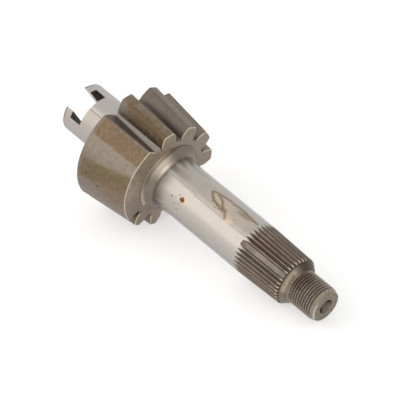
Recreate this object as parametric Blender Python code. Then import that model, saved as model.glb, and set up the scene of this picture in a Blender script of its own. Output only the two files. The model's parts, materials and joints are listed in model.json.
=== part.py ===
"""Steering sector shaft: one forging, turned, toothed and ground.

The shaft is modelled about its own axis. z = 0 is the face of its threaded end and
+z runs towards the T-slot. Angles are in degrees about +z. The gaps between the teeth
all have one shape, as one tool cuts them, and the teeth are what stands between. The
shaft is then laid down as it rests on a bench: on the front tooth corners beside one
gap and on the front rim of its serration.
"""

import math

import bmesh
import bpy

MM = 0.001

# Threaded end with its lead-in, and the centre hole in its face. The thread is a metric
# one: its flanks stand at 60 degrees, and its depth is five eighths of their triangle.
THREAD_RADIUS = 12.0 * MM
THREAD_LENGTH = 22.4 * MM
THREAD_PITCH = 2.0 * MM
THREAD_DEPTH = 0.625 * math.sqrt(0.75) * THREAD_PITCH
THREAD_CREST = 0.125 * THREAD_PITCH
THREAD_ROOT = 0.25 * THREAD_PITCH
END_FACE_RADIUS = 10.7 * MM
LEAD_IN_LENGTH = 3.8 * MM
CENTRE_MOUTH_RADIUS = 5.2 * MM
CENTRE_CONE_ANGLE = 60.0
PILOT_RADIUS = 2.0 * MM
PILOT_LENGTH = 4.5 * MM
DRILL_POINT_LENGTH = 1.2 * MM

# Crowned collar between the thread and the serration
COLLAR_LENGTH = 4.8 * MM
COLLAR_CROWN = 1.35
COLLAR_STEPS = 5

# Tapered serration for the drop arm, with one wide master groove
GROOVE_COUNT = 36
FIRST_GROOVE_ANGLE = 1.3
SERRATION_LENGTH = 38.3 * MM
SERRATION_NOSE = 0.7 * MM
SERRATION_TAPER = 1.0 / 32.0
PARALLEL_LENGTH = 2.5 * MM
GROOVE_OPENING_SHARE = 0.81
GROOVE_FLANK_ANGLE = 45.0
GROOVE_ROOT_LAND = 0.3 * MM
RUN_OUT_LENGTH = 8.0 * MM
RUN_OUT_SHARES = (0.35, 0.65, 0.88)
MASTER_GROOVE_INDEX = 25
MASTER_DEPTH_SHARE = 0.8

# Ground journals on both sides of the toothed sector, and the hub before it
JOURNAL_RADIUS = 18.0 * MM
JOURNAL_LENGTH = 74.8 * MM
REAR_JOURNAL_LENGTH = 42.7 * MM
RELIEF_WIDTH = 0.9 * MM
RELIEF_DEPTH = 0.25 * MM
RELIEF_BEVEL = 0.22 * MM
HUB_FILLET = 5.3 * MM
HUB_LAND = 1.3 * MM
HUB_STEP = 0.7 * MM
HUB_ROOT_DEPTH = 8.0 * MM
REAR_FILLET = 2.5 * MM
END_CHAMFER = 0.8 * MM

# Toothed sector. Tips and roots are cones, and the gaps have involute flanks and close
# towards the back, so that shifting the shaft along its axis takes up the play. A gap's
# half angles are given on its floor and between the tips, at the front and at the back.
SECTOR_WIDTH = 41.5 * MM
TIP_CONE_ANGLE = 6.5
TIP_RADIUS = 37.9 * MM
TOOTH_DEPTH = 8.9 * MM
PRESSURE_ANGLE = 23.8
FLOOR_HALF_ANGLES = (4.6, 1.6)
TIP_HALF_ANGLES = (10.3, 11.3)
FIRST_GAP_ANGLE = -80.0
TOOTH_ANGLES = (32.0, 32.0, 32.0, 32.0, 37.1, 37.1, 26.5, 26.5)
BLANK_FACE_ANGLE = 3.0
TIP_CHAMFER = 0.35 * MM
ROOT_FILLET = 0.7 * MM
FACE_CHAMFER = 0.5 * MM
RESTING_GAP_INDEX = 6

# T-slot for the head of the adjusting screw, across the rear end
SLOT_NECK_WIDTH = 16.4 * MM
SLOT_HEAD_WIDTH = 24.8 * MM
SLOT_LIP = 6.6 * MM
SLOT_HEAD_HEIGHT = 9.4 * MM

# Fineness of the round surfaces: a groove of the serration spans two facets of the
# shaft and one of its threaded end
FACET_ANGLE = 180.0 / GROOVE_COUNT
ARC_STEP_ANGLE = 4.0
FLANK_STEPS = 5
FILLET_STEPS = 6
SECTOR_SLICES = 3
SHARP_EDGE_ANGLE = 30.0

# How far a joined piece sinks into the other, and a cutter runs past a face
SEAT = 0.25 * MM
OVERRUN = 2.0 * MM

# Values that follow from the sizes
BASE_RADIUS = (TIP_RADIUS - 0.5 * TOOTH_DEPTH) * math.cos(math.radians(PRESSURE_ANGLE))
GROOVE_OPENING = GROOVE_OPENING_SHARE * 2.0 * math.pi * JOURNAL_RADIUS / GROOVE_COUNT
GROOVE_DEPTH = 0.5 * (GROOVE_OPENING - GROOVE_ROOT_LAND) / math.tan(math.radians(GROOVE_FLANK_ANGLE))

# Stations along the axis
SERRATION_START = THREAD_LENGTH + COLLAR_LENGTH
SERRATION_END = SERRATION_START + SERRATION_LENGTH
TAPER_END = SERRATION_END - PARALLEL_LENGTH
RUN_OUT_START = SERRATION_END - RUN_OUT_LENGTH
JOURNAL_END = SERRATION_END + JOURNAL_LENGTH
HUB_FACE = JOURNAL_END + HUB_FILLET
SECTOR_FRONT = HUB_FACE + HUB_STEP
SECTOR_BACK = SECTOR_FRONT + SECTOR_WIDTH
SHAFT_END = SECTOR_BACK + REAR_JOURNAL_LENGTH


def clear_scene():
    for item in list(bpy.data.objects):
        bpy.data.objects.remove(item, do_unlink=True)


def forged_steel():
    material = bpy.data.materials.new("forged_steel")
    material.use_nodes = True
    shader = material.node_tree.nodes["Principled BSDF"]
    shader.inputs["Base Color"].default_value = (0.42, 0.39, 0.35, 1.0)
    shader.inputs["Metallic"].default_value = 0.85
    shader.inputs["Roughness"].default_value = 0.38
    return material


def polar(radius, angle, z):
    turn = math.radians(angle)
    return (radius * math.cos(turn), radius * math.sin(turn), z)


def arc_degrees(length, radius):
    return math.degrees(length / radius)


def make_object(name, draw_skin):
    """Adds an object whose closed skin the given function draws in a bmesh."""
    bm = bmesh.new()
    draw_skin(bm)
    bmesh.ops.recalc_face_normals(bm, faces=bm.faces)
    mesh = bpy.data.meshes.new(name)
    bm.to_mesh(mesh)
    bm.free()
    item = bpy.data.objects.new(name, mesh)
    bpy.context.collection.objects.link(item)
    return item


def combine(target, operand, operation):
    """Joins the operand to the target, or cuts it out of it, and hides the operand."""
    boolean = target.modifiers.new(operand.name, 'BOOLEAN')
    boolean.operation = operation
    boolean.solver = 'EXACT'
    boolean.object = operand
    operand.parent = target
    operand.hide_render = True
    operand.display_type = 'WIRE'


def apply_and_shade(item):
    """Applies the modifiers, so that the edges that they made are marked sharp as well."""
    graph = bpy.context.evaluated_depsgraph_get()
    mesh = bpy.data.meshes.new_from_object(item.evaluated_get(graph))
    for modifier in list(item.modifiers):
        bpy.data.objects.remove(modifier.object, do_unlink=True)
    item.modifiers.clear()
    item.data = mesh
    mesh.shade_smooth()
    mesh.set_sharp_from_angle(angle=math.radians(SHARP_EDGE_ANGLE))


def bridge_rings(bm, rings):
    """Quads between neighbouring rings, which all have as many points."""
    for lower, upper in zip(rings, rings[1:]):
        for i in range(len(lower)):
            bm.faces.new((lower[i - 1], lower[i], upper[i], upper[i - 1]))


def bridge_to_finer(bm, coarse, fine):
    """Faces between a ring and one with an extra point between each two."""
    for i in range(len(coarse)):
        bm.faces.new((coarse[i - 1], coarse[i], fine[2 * i], fine[2 * i - 1], fine[2 * i - 2]))


def facet_angles():
    return [FIRST_GROOVE_ANGLE + FACET_ANGLE * (i + 0.25) for i in range(2 * GROOVE_COUNT)]


def turned_rings(bm, profile, angles):
    """A ring of points for each (z, radius) of a turned surface."""
    return [[bm.verts.new(polar(radius, angle, z)) for angle in angles] for z, radius in profile]


def hollow_corner(z_start, radius, fillet, direction):
    """Profile of a hollow fillet that leaves a cylinder and ends square to it."""
    points = []
    for i in range(FILLET_STEPS + 1):
        turn = 0.5 * math.pi * i / FILLET_STEPS
        z = z_start + direction * fillet * math.sin(turn)
        points.append((z, radius + fillet * (1.0 - math.cos(turn))))
    return points


def centre_hole_profile():
    """From the bottom of the pilot hole up its cone to the end face."""
    cone_slope = math.tan(math.radians(0.5 * CENTRE_CONE_ANGLE))
    cone_depth = (CENTRE_MOUTH_RADIUS - PILOT_RADIUS) / cone_slope
    return [(cone_depth + PILOT_LENGTH, PILOT_RADIUS), (cone_depth, PILOT_RADIUS), (0.0, CENTRE_MOUTH_RADIUS)]


def nose_radius(z):
    """Outside of the threaded end: the cone of the lead-in, then a cylinder."""
    return END_FACE_RADIUS + (THREAD_RADIUS - END_FACE_RADIUS) * min(1.0, z / LEAD_IN_LENGTH)


def thread_root_radius(z):
    """Bottom of the thread: it sinks in along the lead-in and runs out before the collar."""
    share = min(1.0, z / LEAD_IN_LENGTH, (THREAD_LENGTH - z) / THREAD_PITCH)
    return nose_radius(z) - THREAD_DEPTH * share


def helix(bm, start, steps, angles, radius_at):
    """Points on a right-hand helix, with one step for each of the angles in a turn."""
    points = []
    for step in range(steps + 1):
        z = start + THREAD_PITCH * step / len(angles)
        points.append(bm.verts.new(polar(radius_at(z), angles[step % len(angles)], z)))
    return points


def fan(bm, apex, line):
    for near, far in zip(line, line[1:]):
        bm.faces.new((apex, near, far))


def draw_thread(bm, first_ring, last_ring, angles):
    """Helical bands from one ring of the nose to another: crest, flank, root and flank.

    The groove ends in a small wall where it starts and where it stops. As many whole
    turns as fit leave between half a pitch and a whole one plain at both ends.
    """
    facets = len(angles)
    turns = int(THREAD_LENGTH / THREAD_PITCH) - 2
    stop = turns * facets
    start = 0.5 * (THREAD_LENGTH - (turns + 1) * THREAD_PITCH)
    flank = 0.5 * (THREAD_PITCH - THREAD_CREST - THREAD_ROOT)
    crest = helix(bm, start, stop + facets, angles, nose_radius)
    crest_end = helix(bm, start + THREAD_CREST, stop, angles, nose_radius)
    root = helix(bm, start + THREAD_CREST + flank, stop, angles, thread_root_radius)
    root_end = helix(bm, start + THREAD_CREST + flank + THREAD_ROOT, stop, angles, thread_root_radius)
    lines = (crest, crest_end, root, root_end, crest[facets:])
    for lower, upper in zip(lines, lines[1:]):
        for i in range(stop):
            bm.faces.new((lower[i], lower[i + 1], upper[i + 1], upper[i]))
    for i in (0, stop):
        bm.faces.new([line[i] for line in lines[1:]])

    # The plain surface before the first turn, and the one after the last
    for i in range(facets - 1):
        bm.faces.new((first_ring[i], first_ring[i + 1], crest[i + 1], crest[i]))
    fan(bm, first_ring[-1], (first_ring[0], crest[0], crest_end[0], crest[facets], crest[facets - 1]))
    last_turn = crest[stop:]
    for i in range(1, facets):
        bm.faces.new((last_turn[i], last_turn[i + 1], last_ring[(i + 1) % facets], last_ring[i]))
    fan(bm, last_ring[1], (last_turn[1], last_turn[0], crest_end[stop], last_turn[facets], last_ring[0]))


def collar_profile():
    """The collar's crown, from the end of the thread up to the serration."""
    rise = groove_floor_radius(SERRATION_START) - THREAD_RADIUS
    profile = []
    for i in range(1, COLLAR_STEPS):
        share = i / COLLAR_STEPS
        crown = 1.0 - (1.0 - share) ** COLLAR_CROWN
        profile.append((THREAD_LENGTH + share * COLLAR_LENGTH, THREAD_RADIUS + crown * rise))
    return profile


def rear_profile():
    """Long journal with its relief, hub, the core inside the sector, and rear journal."""
    relief_start = JOURNAL_END - RELIEF_WIDTH
    relief_radius = JOURNAL_RADIUS - RELIEF_DEPTH
    hub_radius = JOURNAL_RADIUS + HUB_FILLET + HUB_LAND
    profile = [(relief_start, JOURNAL_RADIUS), (relief_start + RELIEF_BEVEL, relief_radius)]
    profile.append((JOURNAL_END - RELIEF_BEVEL, relief_radius))
    profile += hollow_corner(JOURNAL_END, JOURNAL_RADIUS, HUB_FILLET, 1.0)
    profile += [(HUB_FACE, hub_radius), (SECTOR_FRONT + HUB_ROOT_DEPTH, hub_radius)]
    rear_corner = hollow_corner(SECTOR_BACK - SEAT + REAR_FILLET, JOURNAL_RADIUS, REAR_FILLET, -1.0)
    profile += reversed(rear_corner)
    profile += [(SHAFT_END - END_CHAMFER, JOURNAL_RADIUS), (SHAFT_END, JOURNAL_RADIUS - END_CHAMFER)]
    return profile


def crest_radius(z):
    """Outside of the serration: a cone that widens up to the journal."""
    return JOURNAL_RADIUS - SERRATION_TAPER * max(0.0, TAPER_END - z)


def groove_floor_radius(z):
    """Bottom of a groove: along the same cone, then rising in a curve to the journal."""
    level = JOURNAL_RADIUS - GROOVE_DEPTH - SERRATION_TAPER * (TAPER_END - min(z, RUN_OUT_START))
    share = max(0.0, z - RUN_OUT_START) / RUN_OUT_LENGTH
    return level + (JOURNAL_RADIUS - level) * share ** 2


def serration_section(bm, z):
    """One ring of the serration: a crest corner, two root corners and a crest corner a groove.

    The crest between the master groove and the next one is cut down to the master floor.
    """
    crest = crest_radius(z)
    floor = groove_floor_radius(z)
    master_floor = crest - (crest - floor) * MASTER_DEPTH_SHARE
    opening = (crest - floor) * math.tan(math.radians(GROOVE_FLANK_ANGLE))
    root_half = arc_degrees(0.5 * GROOVE_ROOT_LAND, crest)
    crest_half = root_half + arc_degrees(opening, crest)
    ring = []
    for groove in range(GROOVE_COUNT):
        centre = FIRST_GROOVE_ANGLE + 360.0 * groove / GROOVE_COUNT
        opens_master = groove == MASTER_GROOVE_INDEX
        closes_master = groove == MASTER_GROOVE_INDEX + 1
        bottom = master_floor if opens_master or closes_master else floor
        before = master_floor if closes_master else crest
        after = master_floor if opens_master else crest
        corners = ((before, -crest_half), (bottom, -root_half), (bottom, root_half), (after, crest_half))
        ring += [bm.verts.new(polar(radius, centre + offset, z)) for radius, offset in corners]
    return ring


def serration_border(bm, z, radius):
    """A ring on the facets of the turned surface, as fine as the serration's sections."""
    middle = radius * math.cos(math.radians(0.5 * FACET_ANGLE))
    ring = []
    for i in range(4 * GROOVE_COUNT):
        angle = FIRST_GROOVE_ANGLE + 0.5 * FACET_ANGLE * (i - 1.5)
        ring.append(bm.verts.new(polar(middle if i % 2 else radius, angle, z)))
    return ring


def serration_rings(bm):
    stations = [SERRATION_START + SERRATION_NOSE, RUN_OUT_START]
    stations += [RUN_OUT_START + share * RUN_OUT_LENGTH for share in RUN_OUT_SHARES]
    rings = [serration_border(bm, SERRATION_START, groove_floor_radius(SERRATION_START))]
    rings += [serration_section(bm, z) for z in stations]
    rings.append(serration_border(bm, SERRATION_END, JOURNAL_RADIUS))
    return rings


def draw_shaft(bm):
    """Skin of the shaft from the bottom of the centre hole to the rear end face."""
    angles = facet_angles()
    nose_angles = angles[::2]
    hole = centre_hole_profile()
    nose = turned_rings(bm, hole + [(0.0, END_FACE_RADIUS)], nose_angles)
    thread_end = turned_rings(bm, [(THREAD_LENGTH, THREAD_RADIUS)], nose_angles)[0]
    collar = turned_rings(bm, collar_profile(), angles)
    serration = serration_rings(bm)
    rear = turned_rings(bm, rear_profile(), angles)
    bridge_rings(bm, nose)
    draw_thread(bm, nose[-1], thread_end, nose_angles)
    bridge_to_finer(bm, thread_end, collar[0])
    bridge_rings(bm, collar)
    bridge_to_finer(bm, collar[-1], serration[0])
    bridge_rings(bm, serration)
    bridge_to_finer(bm, rear[0], serration[-1])
    bridge_rings(bm, rear)
    drill_point = bm.verts.new((0.0, 0.0, hole[0][0] + DRILL_POINT_LENGTH))
    fan(bm, drill_point, nose[0] + nose[0][:1])
    bm.faces.new(rear[-1])


def gap_angles():
    """Where the gaps lie: one before each tooth, and the last one before the blank."""
    angles = [FIRST_GAP_ANGLE]
    for tooth_angle in TOOTH_ANGLES:
        angles.append(angles[-1] + tooth_angle)
    return angles


def tip_radius(z):
    return TIP_RADIUS + (z - SECTOR_FRONT) * math.tan(math.radians(TIP_CONE_ANGLE))


def involute_turn(radius):
    """How far an involute has turned away from its start on the base circle."""
    pressure = math.acos(min(1.0, BASE_RADIUS / radius))
    return math.tan(pressure) - pressure


def gap_half_angle(radius, z):
    """Half of a gap's angle: along an involute from its floor's to that between the tips."""
    station = (z - SECTOR_FRONT) / SECTOR_WIDTH
    floor_half = FLOOR_HALF_ANGLES[0] + (FLOOR_HALF_ANGLES[1] - FLOOR_HALF_ANGLES[0]) * station
    tip_half = TIP_HALF_ANGLES[0] + (TIP_HALF_ANGLES[1] - TIP_HALF_ANGLES[0]) * station
    tip_turn = involute_turn(tip_radius(z))
    floor_turn = involute_turn(tip_radius(z) - TOOTH_DEPTH)
    share = (involute_turn(radius) - floor_turn) / (tip_turn - floor_turn)
    return floor_half + (tip_half - floor_half) * share


def blank_face_half_angle(radius, z):
    """The blank ends in a plain radial face instead of a flank."""
    return BLANK_FACE_ANGLE


def gap_side(z, cut_back, half_angle):
    """Radii and half angles down one side of a gap, from the tip land to the gap's floor."""
    tip = tip_radius(z) - cut_back
    root = tip - TOOTH_DEPTH
    flank_start = tip - TIP_CHAMFER
    flank_end = root + ROOT_FILLET
    fillet_middle = (1.0 - math.sqrt(0.5)) * ROOT_FILLET
    points = [(tip, half_angle(tip, z) + arc_degrees(TIP_CHAMFER, tip))]
    for i in range(FLANK_STEPS + 1):
        radius = flank_start + (flank_end - flank_start) * i / FLANK_STEPS
        points.append((radius, half_angle(radius, z)))
    points.append((root + fillet_middle, half_angle(root, z) - arc_degrees(fillet_middle, root)))
    points.append((root, half_angle(root, z) - arc_degrees(ROOT_FILLET, root)))
    return [(radius, angle + arc_degrees(cut_back, radius)) for radius, angle in points]


def sector_section(bm, z, cut_back):
    """One ring round the sector: down and up each gap, then along the tip land after it."""
    tip = tip_radius(z) - cut_back
    flank = gap_side(z, cut_back, gap_half_angle)
    blank_face = gap_side(z, cut_back, blank_face_half_angle)
    gaps = gap_angles()
    points = []
    for gap, next_gap in zip(gaps, gaps[1:] + [gaps[0] + 360.0]):
        far_side = blank_face if gap == gaps[-1] else flank
        points += [(radius, gap - half) for radius, half in flank]
        points += [(radius, gap + half) for radius, half in reversed(far_side)]
        land_start = gap + far_side[0][1]
        land_end = next_gap - flank[0][1]
        steps = math.ceil((next_gap - gap) / ARC_STEP_ANGLE)
        points += [(tip, land_start + (land_end - land_start) * i / steps) for i in range(1, steps)]
    return [bm.verts.new(polar(radius, angle, z)) for radius, angle in points]


def draw_sector(bm):
    """The toothed sector as a loft through its sections, with broken edges on both faces."""
    body_start = SECTOR_FRONT + FACE_CHAMFER
    body_length = SECTOR_WIDTH - 2.0 * FACE_CHAMFER
    rings = [sector_section(bm, SECTOR_FRONT, FACE_CHAMFER)]
    for i in range(SECTOR_SLICES + 1):
        rings.append(sector_section(bm, body_start + body_length * i / SECTOR_SLICES, 0.0))
    rings.append(sector_section(bm, SECTOR_BACK, FACE_CHAMFER))
    bridge_rings(bm, rings)
    bm.faces.new(rings[0])
    bm.faces.new(rings[-1])


def draw_slot(bm):
    """The T-slot's hollow, drawn across the axis and long enough to cut right through."""
    lip_underside = SHAFT_END - SLOT_LIP
    floor = lip_underside - SLOT_HEAD_HEIGHT
    neck = 0.5 * SLOT_NECK_WIDTH
    head = 0.5 * SLOT_HEAD_WIDTH
    right = [(head, floor), (head, lip_underside), (neck, lip_underside), (neck, SHAFT_END + OVERRUN)]
    profile = right + [(-x, z) for x, z in reversed(right)]
    reach = JOURNAL_RADIUS + OVERRUN
    ends = [[bm.verts.new((x, y, z)) for x, z in profile] for y in (-reach, reach)]
    bridge_rings(bm, ends)
    for end in ends:
        bm.faces.new(end)


def resting_tilt(points, down):
    """How far the axis leans, in radians, when the shaft has tipped forward onto the bench.

    It starts on its deepest point and tips over one point after another, until one that
    lies in front of the sector has come down.
    """
    spots = [(z, x * down[0] + y * down[1]) for x, y, z in points]
    heel_z, heel_depth = max(spots, key=lambda spot: spot[1])
    while heel_z >= SECTOR_FRONT:
        turns = [(math.atan2(heel_depth - depth, heel_z - z), z, depth) for z, depth in spots if z < heel_z]
        tilt, heel_z, heel_depth = min(turns)
    return tilt


def lay_down(shaft):
    """Rolls the shaft onto its resting gap, tilts it, and centres it on the bench."""
    points = [tuple(vertex.co) for vertex in shaft.data.vertices]
    down_angle = gap_angles()[RESTING_GAP_INDEX]
    tilt = resting_tilt(points, polar(1.0, down_angle, 0.0))

    bench = bpy.data.objects.new("bench_pose", None)
    bpy.context.collection.objects.link(bench)
    bench.rotation_euler = (0.0, tilt - 0.5 * math.pi, 0.0)
    shaft.parent = bench
    shaft.rotation_euler = (0.0, 0.0, math.pi - math.radians(down_angle))
    bpy.context.view_layer.update()

    placed = [shaft.matrix_world @ vertex.co for vertex in shaft.data.vertices]
    for axis in (0, 1):
        values = [point[axis] for point in placed]
        bench.location[axis] = -0.5 * (min(values) + max(values))
    bench.location[2] = -min(point[2] for point in placed)


def build():
    clear_scene()
    shaft = make_object("sector_shaft", draw_shaft)
    combine(shaft, make_object("toothed_sector", draw_sector), 'UNION')
    combine(shaft, make_object("slot_cutter", draw_slot), 'DIFFERENCE')
    apply_and_shade(shaft)
    shaft.data.materials.append(forged_steel())
    lay_down(shaft)


build()
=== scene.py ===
# %% [markdown]
# # A used steering sector shaft
#
# The part is one steel forging: a threaded nose, a collar, a serrated taper, a ground
# journal, a toothed sector and a rear journal with a T-slot. The imported solid already has
# its true sizes. Here each length of it is drawn again much finer, and gets the finish
# that years in oil gave it. The imported model is loaded first.

# %% Load the imported model
import json
import math

import bpy
import numpy as np
from mathutils import Matrix, Vector


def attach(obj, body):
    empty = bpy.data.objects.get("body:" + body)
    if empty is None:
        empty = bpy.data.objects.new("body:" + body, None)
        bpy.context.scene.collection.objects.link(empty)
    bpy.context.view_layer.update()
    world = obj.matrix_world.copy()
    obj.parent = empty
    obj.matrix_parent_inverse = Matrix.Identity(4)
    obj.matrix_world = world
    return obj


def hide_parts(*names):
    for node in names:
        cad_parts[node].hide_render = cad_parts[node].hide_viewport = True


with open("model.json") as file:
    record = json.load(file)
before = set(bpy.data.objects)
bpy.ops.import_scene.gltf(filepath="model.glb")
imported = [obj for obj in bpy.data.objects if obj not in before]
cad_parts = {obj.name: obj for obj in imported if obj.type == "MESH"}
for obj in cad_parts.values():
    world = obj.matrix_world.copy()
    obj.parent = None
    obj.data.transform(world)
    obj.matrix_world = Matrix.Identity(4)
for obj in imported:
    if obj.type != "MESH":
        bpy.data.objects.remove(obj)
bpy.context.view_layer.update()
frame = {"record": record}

# %% [markdown]
# ## The shaft's own frame
#
# A turned part is easiest to draw upright: radius and angle about its axis, and station
# along it in millimetres, from the threaded end. The real one lies on its side, tilted.
# The flat mounts in the record say where: the floor of the T-slot gives the direction of
# the axis and one point on it. One roll about that axis brings the right gap down.

# %% Where the shaft lies
MM_PER_M = 1000
SLOT_FLOOR_STATION = 214.5
RESTING_GAP_ANGLE = 122.2

slot_floor = next(m for m in frame["record"]["mounts"] if m["name"] == "slot_floor")
tilt = math.asin(Vector(slot_floor["axis"]).normalized().z)
roll = math.radians(180 - RESTING_GAP_ANGLE)
lay = Matrix.Rotation(tilt - math.pi / 2, 3, "Y") @ Matrix.Rotation(roll, 3, "Z")
axis = lay @ Vector((0, 0, 1))
thread_end = Vector(slot_floor["pos_m"]) - axis * SLOT_FLOOR_STATION / MM_PER_M
print("tilt, degrees:", round(math.degrees(tilt), 3))
print("thread end, m:", tuple(round(v, 5) for v in thread_end))


def laid_down(points):
    """Turns the shaft's points by the lay, in mm, and moves them to the thread end, in m."""
    return points @ np.array(lay).T / MM_PER_M + np.array(thread_end)


def polar(radius, angle, station):
    """Points in the shaft's frame: (radius cos angle, radius sin angle, station)."""
    turned = np.radians(angle)
    x, y = radius * np.cos(turned), radius * np.sin(turned)
    return np.stack(np.broadcast_arrays(x, y, station), axis=-1)

# %% [markdown]
# ## Camera
#
# A long lens from well above, as for a small part on a table. An aimed camera would do,
# but the three vectors below are the camera's own axes, found by fitting the shaft's
# sizes to the picture, and they bring each edge to its place.

# %% Camera
CAMERA_PLACE = Vector((1.2258073, -1.1227474, 1.2196325))
CAMERA_RIGHT = Vector((0.6811543, 0.7321065, -0.0069934)).normalized()
CAMERA_UP = Vector((-0.4226992, 0.4010440, 0.8127048)).normalized()
FOCAL_PIXELS = 3200
IMAGE_PIXELS = 416
SENSOR_WIDTH = 36



def in_scene(name, data):
    """A new object of this data, put into the scene."""
    made = bpy.data.objects.new(name, data)
    bpy.context.scene.collection.objects.link(made)
    return made


camera_data = bpy.data.cameras.new("table_camera")
camera_data.sensor_width = SENSOR_WIDTH
camera_data.lens = SENSOR_WIDTH * FOCAL_PIXELS / IMAGE_PIXELS
camera = in_scene("table_camera", camera_data)
camera_back = CAMERA_RIGHT.cross(CAMERA_UP)
camera_axes = Matrix((CAMERA_RIGHT, CAMERA_UP, camera_back)).transposed().to_4x4()
camera.matrix_world = Matrix.Translation(CAMERA_PLACE) @ camera_axes
bpy.context.scene.camera = camera
bpy.context.scene.view_settings.view_transform = "Standard"
print("lens, mm:", round(camera_data.lens, 2))

# %% [markdown]
# ## Shader arithmetic
#
# A finish is a chain of nodes. Written as Python it reads like a formula: a small class
# holds one output socket, and + - * / between two of them add Math nodes. The soft masks
# that every stain needs are methods too: ramp, between and near.

# %% Fields


def operator(operation, swapped=False):
    """An operator of Field that adds one Math node of this operation."""
    return lambda field, other: field.math(operation, other, swapped)


class Field:
    """One value that changes over a surface, as a node's output socket."""

    def __init__(self, finish, socket):
        self.finish = finish
        self.socket = socket

    def math(self, operation, other=None, swapped=False):
        """A Math node on this value and the other one, or on both in turned order."""
        values = {0: other, 1: self} if swapped else {0: self, 1: other}
        return self.finish.node("ShaderNodeMath", {"operation": operation}, values)

    __add__ = __radd__ = operator("ADD")
    __mul__ = __rmul__ = operator("MULTIPLY")
    __sub__ = operator("SUBTRACT")
    __rsub__ = operator("SUBTRACT", swapped=True)
    __truediv__ = operator("DIVIDE")

    def either(self, other):
        """The larger of two masks, so that one or the other covers."""
        return self.math("MAXIMUM", other)

    def ramp(self, start, end):
        """0 before start, 1 after end and a soft S between; start may be the larger."""
        settings = {"interpolation_type": "SMOOTHSTEP"}
        return self.finish.node("ShaderNodeMapRange", settings, {0: self, 1: start, 2: end})

    def between(self, start, full, fading, end):
        """0 up to start, 1 from full to fading and 0 again from the end on."""
        return self.ramp(start, full) * self.ramp(end, fading)

    def near(self, middle, reach):
        """1 at the middle value, and 0 from the reach on."""
        return (self - middle).math("ABSOLUTE").ramp(reach, 0)


print("shader arithmetic ready")

# %% [markdown]
# ## A finish in coats
#
# A used surface comes in coats: bare steel, then film, stains, dirt and specks. Images
# could hold them, but nodes on the shaft's own coordinates need no unwrapping and stay
# sharp from near. So a finish keeps its colour so far, and each coat mixes one more
# colour over it through a mask: an oval, a strip, specks or a value painted on the
# points. Other nodes go through one method, by type, settings and socket values.

# %% Finishes
SPECK_HEIGHT = 0.78
SPECK_BORDER = 0.06


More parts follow.
